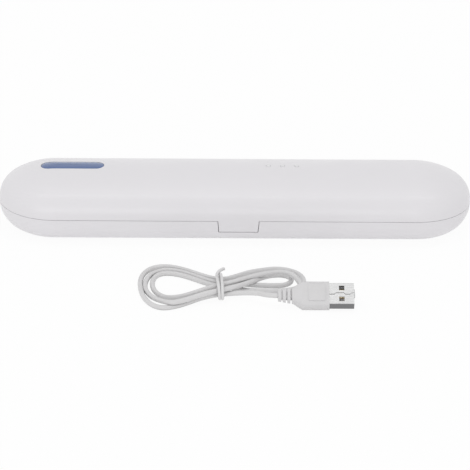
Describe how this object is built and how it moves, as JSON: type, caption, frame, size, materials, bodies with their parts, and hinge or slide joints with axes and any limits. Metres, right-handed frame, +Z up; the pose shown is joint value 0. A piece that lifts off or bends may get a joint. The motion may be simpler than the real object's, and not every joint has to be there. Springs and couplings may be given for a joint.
{
  "type": "uv toothbrush sterilizer",
  "caption": "Long pill-shaped ultraviolet case with a hinged lid that holds a toothbrush in a cradled tray, with its charging lead coiled beside it.",
  "frame": {"origin": "middle of the case's flat underside, on the surface it stands on", "axes": "+X along the case, towards its right end seen from the front; the front with the latch tongue looks along -Y; +Z up"},
  "size_m": [0.235, 0.1341, 0.0323],
  "materials": {
    "shell_white": "satin",
    "tray_white": "satin",
    "liner_grey": "satin",
    "window_blue": "smoked blue, bevelled",
    "clear_rod": "clear",
    "guard_clear": "clear",
    "lamp_glass": "clear tube",
    "bright_aluminium": "bright, folded",
    "steel": "machined",
    "nickel": "plated",
    "rubber_grey": "matt",
    "board_green": "solder mask",
    "chip_black": "moulded",
    "diode_white": "moulded",
    "switch_grey": "moulded",
    "cell_silver": "foil",
    "contact_gilt": "gilt",
    "button_white": "satin",
    "cord_white": "soft satin",
    "tie_white": "soft satin",
    "plug_white": "satin",
    "wire_red": "satin"
  },
  "bodies": {
    "base": {"base_shell": "shell_white", "brush_tray": "tray_white", "tray_screws": "steel", "base_magnet": "nickel", "hinge_pins": "steel", "cable_hank": "cord_white", "usb_lead": "cord_white", "device_lead": "cord_white", "cable_tie": "tie_white", "usb_plug_body": "plug_white", "usb_plug_shell": "nickel", "usb_plug_tongue": "plug_white", "usb_plug_contacts": "contact_gilt", "device_plug_body": "plug_white", "device_plug_tip": "nickel"},
    "lid": {"lid_shell": "shell_white", "lid_liner": "liner_grey", "liner_screws": "steel", "lamp_guard": "guard_clear", "uv_lamp": "lamp_glass", "lamp_cap_left": "rubber_grey", "lamp_cap_right": "rubber_grey", "lamp_reflector": "bright_aluminium", "window_lens": "window_blue", "light_pipe_1": "clear_rod", "light_pipe_2": "clear_rod", "light_pipe_3": "clear_rod", "main_board": "board_green", "board_screws": "steel", "indicator_diodes": "diode_white", "lamp_transformer": "chip_black", "timer_chip": "chip_black", "start_switch": "switch_grey", "battery": "cell_silver", "charging_board": "board_green", "socket_shell": "nickel", "socket_tongue": "chip_black", "reed_switch": "lamp_glass", "lamp_wire_left": "wire_red", "lamp_wire_right": "wire_red", "battery_leads": "wire_red"},
    "button": {"start_button": "button_white"}
  },
  "joints": [
    {"name": "lid_hinge", "type": "hinge", "parent": "base", "child": "lid", "pos_m": [0, 0.028, 0.014], "axis": [-1, 0, 0], "range_deg": [0, 110]},
    {"name": "start_button_press", "type": "slide", "parent": "lid", "child": "button", "axis": [0, 0, 1], "range_m": [0, 0.0008], "stiffness_N_per_m": 300, "springref_m": -0.0005}
  ]
}
